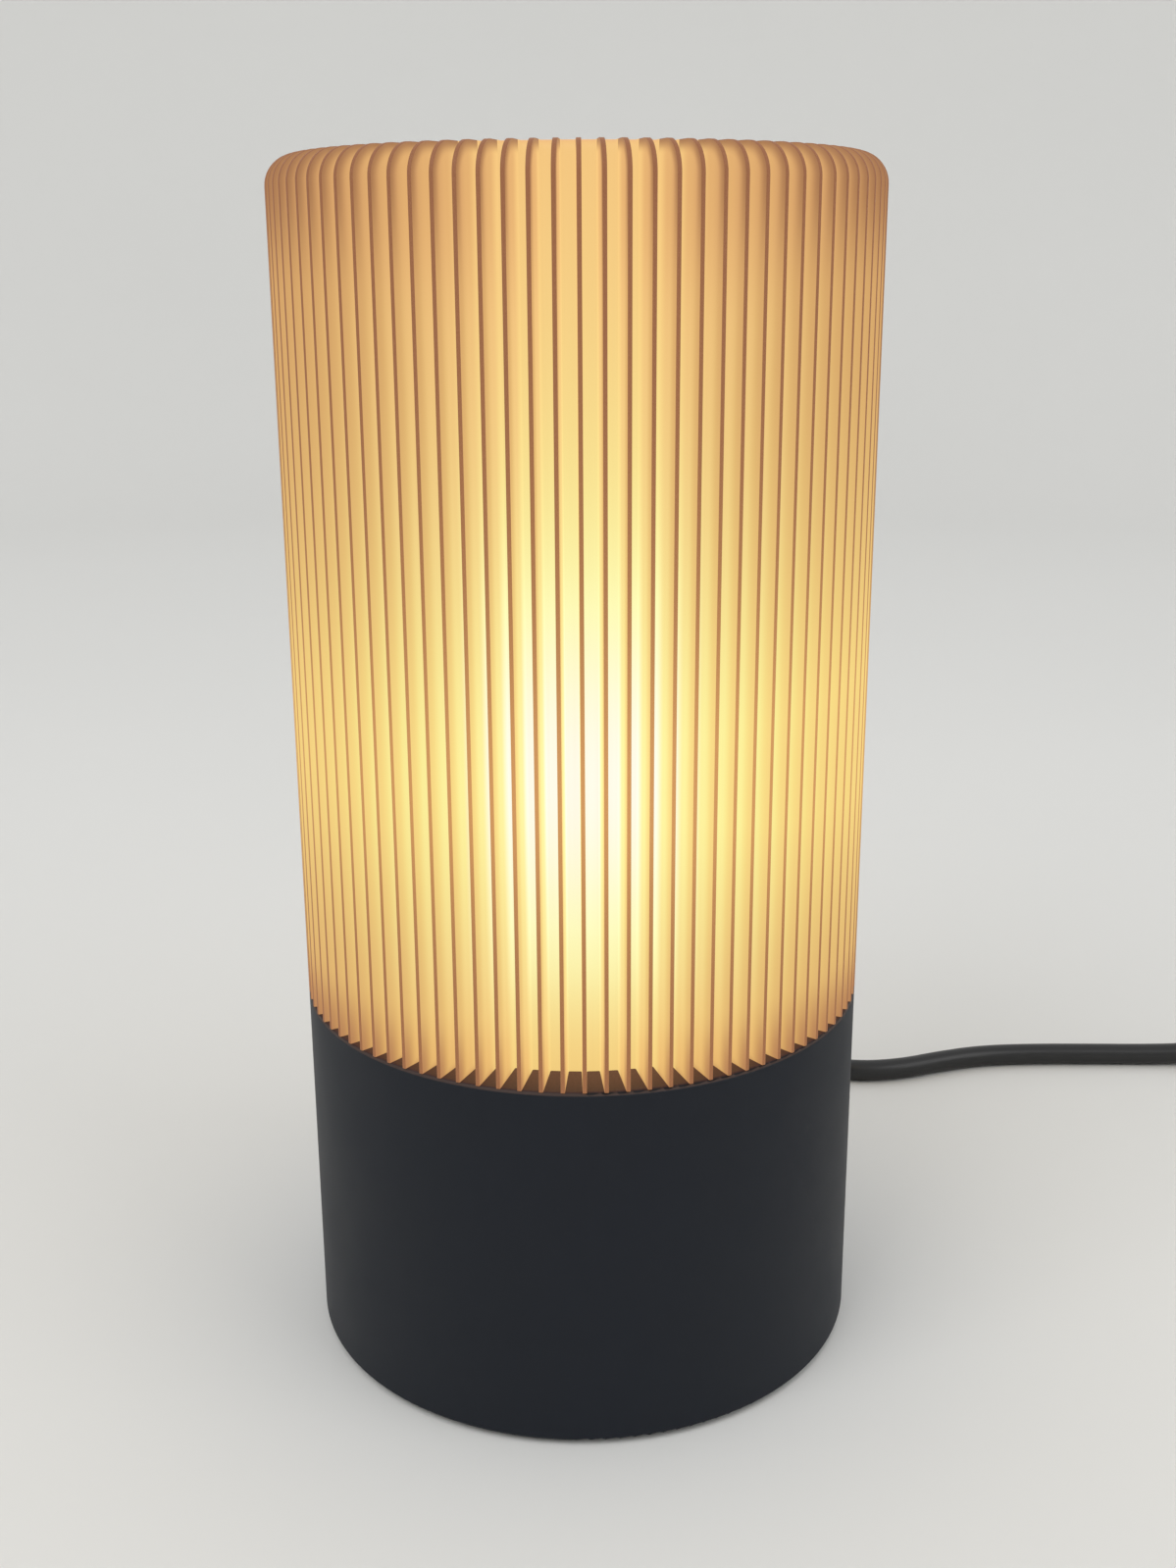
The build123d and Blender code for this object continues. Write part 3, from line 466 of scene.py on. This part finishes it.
class Field(Nodes):
    """A number or a colour that changes over a surface."""

    def __init__(self, socket):
        self.socket = socket
        self.tree = socket.id_data

    def math(self, operation, *values):
        """Result of a Math node on these values."""
        return self.node("Math", {"operation": operation}, dict(enumerate(values)))

    def __add__(self, other):
        return self.math("ADD", self, other)

    def __radd__(self, other):
        return self.math("ADD", other, self)

    def __sub__(self, other):
        return self.math("SUBTRACT", self, other)

    def __rsub__(self, other):
        return self.math("SUBTRACT", other, self)

    def __mul__(self, other):
        return self.math("MULTIPLY", self, other)

    def __rmul__(self, other):
        return self.math("MULTIPLY", other, self)

    def __truediv__(self, other):
        return self.math("DIVIDE", self, other)

    def __rtruediv__(self, other):
        return self.math("DIVIDE", other, self)

    def __pow__(self, other):
        return self.math("POWER", self, other)

    def __rpow__(self, other):
        return self.math("POWER", other, self)

    def atleast(self, other):
        """The larger of this and another value."""
        return self.math("MAXIMUM", self, other)

    def atmost(self, other):
        """The smaller of this and another value."""
        return self.math("MINIMUM", self, other)

    def between(self, low, high):
        """0 below low, 1 above high and a smooth rise between them, or a fall if low is higher."""
        values = dict(enumerate((self, low, high, 0.0, 1.0)))
        return self.node("MapRange", {"interpolation_type": "SMOOTHSTEP"}, values)


print(sum(name.startswith("__r") for name in vars(Field)), "sums also work with the number first")

# %% [markdown]
# A material wraps one shader. Patterns read Object coordinates, which are metres here because
# every piece sits at the origin, so a lump of noise has a real size. Colours are written as the
# levels that a screen shows, and a formula makes them linear, as the shader wants them.

# %% Finishes


def tone(*levels):
    """Linear colour from display levels of 0 to 255."""
    share = np.array(levels) / 255
    linear = np.where(share <= 0.04045, share / 12.92, ((share + 0.055) / 1.055) ** 2.4)
    return (*linear.tolist(), 1.0)


class Finish(Nodes):
    """One material, with the sockets of its shader set by name."""

    def __init__(self, name, **constants):
        self.material = bpy.data.materials.new(name)
        self.material.use_nodes = True
        self.tree = self.material.node_tree
        self.shader = self.tree.nodes["Principled BSDF"]
        self.set(**constants)

    def set(self, **values):
        """Sets sockets of the shader, with words joined by underscores."""
        for name, value in values.items():
            feed(self.shader.inputs[name.replace("_", " ").title().replace("Ior", "IOR")], value)

    def spot(self):
        """Object coordinates as three numbers, in metres."""
        place = self.node("TexCoord", output="Object")
        parts = self.node("SeparateXYZ", values={"Vector": place}).socket.node
        return [Field(socket) for socket in parts.outputs]

    def axes(self):
        """Distance from the lamp's axis and height, in metres."""
        x, y, z = self.spot()
        return (x * x + y * y) ** 0.5, z

    def noise(self, size, detail=3.0, squeeze=(1, 1, 1)):
        """Soft noise with lumps of about this size, divided along each axis by its squeeze."""
        place = self.node("TexCoord", output="Object")
        spot = self.node("Mapping", values={"Vector": place, "Scale": squeeze})
        return self.node("TexNoise", values={"Vector": spot, "Scale": 1 / size, "Detail": detail})

    def mix(self, factor, first, second):
        """Colour between two colours, whose sockets on a Mix node are the seventh and eighth."""
        return self.node("Mix", {"data_type": "RGBA"}, {0: factor, 6: first, 7: second}, output=2)

    def bump(self, height, depth, strength=1.0):
        """Relief from a height field, with its depth in metres."""
        values = {"Height": height, "Distance": depth, "Strength": strength}
        self.set(normal=self.node("Bump", values=values))


print("display level 128 is", round(tone(128, 128, 128)[0], 3), "of full light")

# %% [markdown]
# The shade glows because light from the bulb comes through the wall and bleeds into the fins. The
# wall is thin and close to the bulb, so it is brightest, and almost white at the bulb's height. A
# fin passes the light on from its root to its tip and loses blue on the way, and its flat tip
# stays brown, because little light turns that corner. A path tracer would need thousands of
# samples to find this. Here the glow follows from two distances: how deep a point lies under the
# fins' outer edge, and how far above or below the bulb. The photograph shows it a little stronger
# on the right, and fading sooner below the bulb than above it.

# %% Two distances
glow_drop = 16 * mm                 # how far under the globe's top the glow is centred
glow_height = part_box("bulb_globe")[1][2] - glow_drop
glow_reach = 48 * mm
fall_below = 1.15                   # how much faster the glow fades below the bulb
lean_share = 0.08                   # how much stronger the glow is at the right edge
deep_edge = 0.3 * mm                # the fins' roots count as deep from here inwards


def edge_depth(finish):
    """How deep a point lies under the fins' outer edge, in metres.

    The outer edge is a cylinder with a rounded upper edge, and the distance to it is the usual
    one for a rounded box. Everything inside the cup's own radius counts as deep.
    """
    far, level = finish.axes()
    past = far - (tip_radius - over_top)
    above = level - (shade_high - over_top)
    corner = (past.atleast(0) ** 2 + above.atleast(0) ** 2) ** 0.5
    depth = over_top - corner - past.atleast(above).atmost(0)
    return depth.atleast(far.between(wall_radius + deep_edge, wall_radius) * fin_depth)


def nearness(finish):
    """One over one plus the square of the offset from the bulb's height, counted in reaches.

    The offset counts for more below the bulb, and the right side of the shade gets a little more.
    """
    side, _, level = finish.spot()
    offset = (level - glow_height) / glow_reach
    offset = offset.atleast(offset * -fall_below)
    return (1 + lean_share / tip_radius * side) / (1 + offset * offset)


print("glow centred", round(glow_height / mm, 1), "mm up, half as strong", glow_reach / mm, "mm above")

# %% [markdown]
# Each layer of a fin has its own colours: a dark rim along the edge, the outer part and the
# middle. All go from a far colour to a near one, and turn duller where the fins bend over the
# top and at their feet. One function mixes any of them, so only the tones differ.

# %% Layers of the glow
rim_tones = (194, 140, 92), (243, 213, 130), (154, 108, 73), (176, 125, 84)
outer_tones = (205, 151, 99), (247, 230, 139), (204, 154, 102), (182, 132, 87)
middle_tones = (225, 168, 111), (247, 240, 154), (219, 171, 111), (214, 160, 107)
core_reach = 24 * mm                # where the white core of the wall has half its strength
full_wall_share = 0.68              # nearness at which the wall is as yellow as it gets


def layer_colour(finish, near, by_top, by_foot, tones):
    """Colour of one layer, from its tones: far from the bulb, near it, at the top, at the foot."""
    far_tone, near_tone, top_tone, foot_tone = (tone(*levels) for levels in tones)
    colour = finish.mix(near, far_tone, near_tone)
    colour = finish.mix(by_top, colour, top_tone)
    return finish.mix(by_foot, colour, foot_tone)


def wall_colour(finish, near, level):
    """Colour of the cup's wall: yellow towards the bulb, and almost white in a narrow core."""
    core = 0.5 ** ((level - glow_height) / core_reach) ** 2
    wall = finish.mix((near / full_wall_share).atmost(1), tone(237, 177, 115), tone(250, 251, 160))
    return finish.mix(core, wall, tone(252, 252, 236))


print("three layers and the wall, whose core is white", core_reach / mm, "mm up and down")

# %% [markdown]
# The layers are put together by depth. The share of the depth is 0 at the fins' tips and 1 at the
# wall, and each layer takes over smoothly from the last. The flat top is lit from below, and the
# dark rim comes last, narrower where the fins bend over the top.

# %% Glow of the shade
middle_shares = 0.08, 0.45          # where the middle takes over from the outer part
wall_shares = 0.5, 0.97             # where the wall takes over from the middle
lid_shares = 0.95, 1.2              # where the flat top starts inside the fins
foot_rim_shares = 0.6, 0.9          # where the dark edge along the foot ends
outer_foot_share, middle_foot_share = 0.6, 0.5      # how much of the foot's tone each takes
foot_height = 14 * mm
pale_share = 0.4
pale_height = 24 * mm               # just over the deck the light mixes and is paler
top_stretch = 26 * mm, 3 * mm       # distances under the top: where a change starts and ends
bend_stretch = 32 * mm, 6 * mm
lid_stretch = 1.5 * mm, 0.2 * mm
narrow_stretch = 60 * mm, 8 * mm
rim_reach = 3.6 * mm
narrowing = 1.2 * mm                # how much less the rim reaches at the top
foot_lift = 2 * mm                  # how far under the foot its own dark edge starts


def near_top(level, stretch):
    """A smooth rise from 0 to 1 between two distances under the top."""
    start, end = stretch
    return level.between(shade_high - start, shade_high - end)


def near_foot(level, height):
    """A smooth rise from 0 to 1 between a height over the foot and the foot."""
    return level.between(shade_low + height, shade_low)


def glow_colour(finish, edge, near):
    """Colour of the light at a point, mixed over its height and over its depth in the fins."""
    far, level = finish.axes()
    share = (tip_radius - far) / fin_depth
    by_foot = near_foot(level, foot_height)
    by_bend = near_top(level, bend_stretch)
    rim = layer_colour(finish, near, near_top(level, top_stretch), by_foot, rim_tones)
    outer = layer_colour(finish, near, by_bend, outer_foot_share * by_foot, outer_tones)
    middle = layer_colour(finish, near, by_bend, middle_foot_share * by_foot, middle_tones)
    glow = finish.mix(share.between(*middle_shares), outer, middle)
    glow = finish.mix(share.between(*wall_shares), glow, wall_colour(finish, near, level))
    glow = finish.mix(pale_share * near_foot(level, pale_height), glow, tone(235, 187, 102))
    lid = near_top(level, lid_stretch) * share.between(*lid_shares)
    lid_glow = finish.mix(far.between(0, wall_radius), tone(250, 216, 142), tone(231, 176, 114))
    glow = finish.mix(lid, glow, lid_glow)
    past_rim = share.between(*foot_rim_shares) * fin_depth
    above_foot = (level - shade_low + foot_lift).atleast(past_rim)
    reach = rim_reach - narrowing * near_top(level, narrow_stretch)
    return finish.mix((edge.atmost(above_foot) / reach).between(0, 1), rim, glow)


print("dark rim", rim_reach / mm, "mm deep,", round((rim_reach - narrowing) / mm, 1), "mm at the top")

# %% [markdown]
# The finish paints shade on the fins' tips, which stay brown because little light reaches them:
# a brown colour and a dimmer glow. It adds fine streaks along the fins where the plastic flowed in
# the mould, and a faint grain. The glow is an emission, so the plastic under it is dark, or the
# studio's own light would wash the colours out.

# %% Shade finish
tip_skin = 0.13 * mm, 0.05 * mm     # depths between which the painted shade of the tips sets in
shade_grain, shade_grain_depth = 0.5 * mm, 0.02 * mm
streak_width = 1.5 * mm
streak_share = 0.14
shade_finish = Finish("glowing_shade", roughness=0.55, specular_ior_level=0.25)
edge = edge_depth(shade_finish)
near = nearness(shade_finish)
# Painted shade on the fins' tips: a brown colour and a dimmer glow where little light reaches.
tip = edge.between(*tip_skin)
tip_glow = shade_finish.mix(near * near, tone(112, 70, 44), tone(188, 138, 80))
grain = shade_finish.noise(shade_grain, detail=2.0, squeeze=(1, 1, 0.2))
streaks = shade_finish.noise(streak_width, detail=3.0, squeeze=(1, 1, 0.02))
glow = glow_colour(shade_finish, edge, near)
glow = shade_finish.mix(streak_share * streaks, glow, tone(214, 158, 98))
shade_finish.set(
    base_color=shade_finish.mix(tip, tone(60, 44, 32), tone(106, 70, 48)),
    emission_color=shade_finish.mix(tip, glow, tip_glow), emission_strength=1.0,
)
shade_finish.bump(grain, shade_grain_depth, 0.4)
print("glowing shade of", len(shade_finish.tree.nodes), "nodes")

# %% [markdown]
# The other finishes are plastics and metals. A single flat colour would look like paint, so each
# gets the marks that its making leaves. A matt moulding has the fine grain of its spark-eroded
# mould, a glossy one only a faint flow, and both are slightly uneven in colour and gloss.

# %% Plastics
plastic_patch = 18 * mm
gloss_range = 0.12                  # how much the roughness varies from patch to patch


def plastic(name, colour, roughness, grain_size, grain_depth, spread=0.06, gloss=0.5):
    """Moulded plastic with fine grain and slightly uneven colour and gloss."""
    finish = Finish(name, specular_ior_level=gloss)
    patch = finish.noise(plastic_patch, detail=2.0)
    grain = finish.noise(grain_size, detail=2.0)
    light = [min(1.0, level * (1 + 2 * spread)) for level in colour[:3]] + [1.0]
    dark = [level * (1 - 2 * spread) for level in colour[:3]] + [1.0]
    finish.set(
        base_color=finish.mix(patch, tuple(dark), tuple(light)),
        roughness=roughness - gloss_range / 2 + gloss_range * patch,
    )
    finish.bump(grain, grain_depth)
    return finish


finishes = {
    "shade_plastic": shade_finish,
    "base_plastic": plastic("matt_base", tone(18, 23, 32), 0.55, 0.35 * mm, 0.012 * mm, gloss=0.25),
    "rubber": plastic("rubber_pads", tone(30, 30, 30), 0.85, 0.3 * mm, 0.02 * mm),
    "holder_plastic": plastic("glossy_black", tone(28, 28, 29), 0.28, 1.2 * mm, 0.004 * mm),
    "cord_pvc": plastic("cord_sheath", tone(24, 24, 25), 0.32, 0.8 * mm, 0.008 * mm),
    "bulb_plastic": plastic("bulb_neck_white", tone(232, 231, 226), 0.4, 0.6 * mm, 0.004 * mm, 0.01),
    "insulator_glass": plastic("black_glass", tone(20, 20, 24), 0.12, 2 * mm, 0.002 * mm),
    "ceramic": plastic("bare_ceramic", tone(226, 223, 212), 0.7, 0.2 * mm, 0.02 * mm, 0.02),
    "board": plastic("board_white", tone(222, 224, 218), 0.45, 0.5 * mm, 0.003 * mm, 0.02),
    "wire_brown": plastic("wire_brown", tone(96, 56, 32), 0.35, 0.8 * mm, 0.004 * mm),
    "wire_blue": plastic("wire_blue", tone(40, 82, 150), 0.35, 0.8 * mm, 0.004 * mm),
}
print(len(finishes), "plastics")

# %% [markdown]
# Light from the fins falls on the base's deck, in the narrow bays between their feet. The deck is
# matt, so it shows there as a brown glow, painted as an emission, and the rounded rim outside it
# catches a thin painted highlight. A real light in the bays would be slow and noisy. Sums of the
# height and of the distance from the axis keep the painted glow to the ring under the fins, and
# make it strongest at the wall's foot. As a finish can't follow the shade, the ring keeps its glow
# when the shade is lifted off.

# %% Glow on the deck
ring_height = 8 * mm                # of the ring that centres the shade, which stands on the deck
deck_skin = 0.3 * mm, 0.05 * mm     # how far under the deck's face the glow starts and is full
wall_softness, tip_softness = 1 * mm, 0.6 * mm
bay_fade = 8 * mm                   # how far past the tips the fading glow would end
highlight_width = 0.4 * mm, 0.2 * mm     # how far inside the rim the painted highlight starts and is full
highlight_drop = 0.8 * mm, 0.5 * mm      # how far under the deck the painted highlight starts and is full
highlight_share = 0.25
bay_speckle = 0.5 * mm
base_finish = finishes["base_plastic"]
far, level = base_finish.axes()
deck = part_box("base_shell")[1][2] - ring_height
on_deck = level.between(deck - deck_skin[0], deck - deck_skin[1])
on_deck = on_deck * far.between(wall_radius - wall_softness, wall_radius)
on_deck = on_deck * far.between(tip_radius, tip_radius - tip_softness)
on_deck = on_deck * far.between(tip_radius + bay_fade, wall_radius)
# A thin painted highlight along the deck's rounded rim, where it would catch the light of the shade and
# the studio.
on_rim = far.between(lamp_radius - highlight_width[0], lamp_radius - highlight_width[1])
on_rim = on_rim * level.between(deck - highlight_drop[0], deck - highlight_drop[1])
speckle = base_finish.noise(bay_speckle, detail=2.0)
bay_glow = base_finish.mix(speckle, tone(74, 44, 33), tone(106, 65, 51))
bay_glow = base_finish.mix(on_deck, tone(0, 0, 0), bay_glow)
base_finish.set(
    emission_color=base_finish.mix(on_rim * highlight_share, bay_glow, tone(120, 90, 70)),
    emission_strength=1.0,
)
print("deck", round(deck / mm, 1), "mm up")

# %% [markdown]
# Metal has no colour of its own below its shine: the colour sits in the reflection. Drawn or
# rolled metal shows fine lines, which come from noise that is squeezed along one axis.

# %% Metals
drawn_line, drawn_depth = 1.2 * mm, 0.01 * mm
metal_patch = 9 * mm
patch_share = 0.82                  # how bright the darker patches are beside the others
line_range = 0.16                   # how much the roughness varies from line to line


def metal(name, colour, roughness, squeeze=(1, 1, 12)):
    """Metal with fine level lines, or with even grain where the noise isn't squeezed."""
    finish = Finish(name, metallic=1.0)
    lines = finish.noise(drawn_line, detail=4.0, squeeze=squeeze)
    patch = finish.noise(metal_patch)
    dark = tuple(level * patch_share for level in colour[:3]) + (1.0,)
    finish.set(
        base_color=finish.mix(patch, dark, colour),
        roughness=roughness - line_range / 2 + line_range * lines,
    )
    finish.bump(lines, drawn_depth, 0.5)
    return finish


finishes.update({
    "steel": metal("plated_steel", tone(196, 196, 198), 0.3),
    "ballast_steel": metal("blackened_steel", tone(84, 84, 88), 0.5, (1, 1, 1)),
    "brass": metal("brass", tone(214, 176, 104), 0.28),
    "cap_aluminium": metal("cap_aluminium", tone(214, 214, 212), 0.32),
})
print("with metals,", len(finishes), "finishes")

# %% [markdown]
# The bulb's globe is opal, so it spreads the light from inside over its whole surface. It could
# be made translucent, but an emission is quick and never noisy. The globe glows less at its lower
# end, beside the board with the light source, and stays under full white to keep its warm colour.

# %% Bulb globe
dim_height = 22 * mm                # from the globe's lower end up, where it glows less
opal = Finish("opal_glow", roughness=0.35, base_color=tone(236, 226, 200))
_, level = opal.axes()
bulb_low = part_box("bulb_globe")[0][2]
bulb_light = (level - bulb_low).between(0.0, dim_height)
opal.set(
    emission_color=opal.mix(bulb_light, tone(228, 180, 110), tone(255, 240, 190)),
    emission_strength=0.9,
)
finishes["opal"] = opal
print(len(finishes), "finishes")

# %% [markdown]
# Every piece takes the finish of the slot that the record gives it, so that a finish is written
# once however many pieces wear it.

# %% Dress the pieces
slot_of = {entry["node"]: entry["material_slot"] for entry in frame["record"]["subparts"]}
for name, piece in nodes.items():
    piece.data.materials.clear()
    piece.data.materials.append(finishes[slot_of[name]].material)
shade_piece.data.materials.append(finishes["shade_plastic"].material)
for piece in (lead, tail, sleeve):
    piece.data.materials.append(finishes["cord_pvc"].material)
print(len(nodes), "packed pieces and 4 new ones dressed")

# %% [markdown]

# %% [markdown]
# The studio is a pale bowl: a round floor that curves up into a low wall, so that no edge shows
# behind the lamp from any side. A flat floor would end in a line, and a sweep has a back only on
# one side.

# %% Studio
floor_radius, floor_bend, wall_height = 1.3, 0.7, 1.3
paper_patch = 0.4
wall_distance = floor_radius + floor_bend
bowl_outline = np.vstack((
    [wall_distance, wall_height], quarter((floor_radius, floor_bend), floor_bend, 0, -90, 16),
    [floor_radius / 2, 0], [0, 0],
))
bowl_columns = 96
bowl_mesh = bpy.data.meshes.new("studio_bowl")
bowl_mesh.from_pydata(
    turned_grid(bowl_outline, bowl_columns), [], ring_faces(len(bowl_outline), bowl_columns),
)
bowl_mesh.shade_smooth()
studio = bpy.data.objects.new("studio_bowl", bowl_mesh)
bpy.context.scene.collection.objects.link(studio)
paper = Finish("studio_paper", roughness=0.9, specular_ior_level=0.1)
patch = paper.noise(paper_patch, detail=2.0)
paper.set(base_color=paper.mix(patch, tone(226, 226, 224), tone(230, 230, 228)))
bowl_mesh.materials.append(paper.material)
print("studio bowl", 2 * wall_distance, "m across")

# %% [markdown]
# The light is soft and even: a white sky and two softboxes, one from each side of the camera.
# It is at a level where a colour renders about as it is written, and no pale surface clips.

# %% Light
sky_strength = 0.78
softbox_size = 1.1
key_place, key_watts = (-0.9, -1.0, 1.5), 9
fill_place, fill_watts = (1.1, -0.7, 1.1), 4.5
lamp_middle = (0.0, 0.0, shade_high / 2)

world = bpy.data.worlds.new("studio_light")
bpy.context.scene.world = world
world.use_nodes = True
world.node_tree.nodes["Background"].inputs["Color"].default_value = (1.0, 1.0, 1.0, 1.0)
world.node_tree.nodes["Background"].inputs["Strength"].default_value = sky_strength


def softbox(name, place, watts):
    """Square softbox that looks at the middle of the table lamp."""
    area = bpy.data.lights.new(name, "AREA")
    area.size = softbox_size
    area.energy = watts
    light = bpy.data.objects.new(name, area)
    bpy.context.scene.collection.objects.link(light)
    back = np.array(place, float) - lamp_middle
    back /= np.linalg.norm(back)
    side = np.cross((0.0, 0.0, 1.0), back)
    side /= np.linalg.norm(side)
    matrix = np.eye(4)
    matrix[:3, :] = np.array((side, np.cross(back, side), back, place)).T
    light.matrix_world = matrix.T.tolist()
    print(name, "light of", watts, "W")


softbox("key", key_place, key_watts)
softbox("fill", fill_place, fill_watts)
bpy.context.scene.view_settings.view_transform = "Standard"

# %% [markdown]
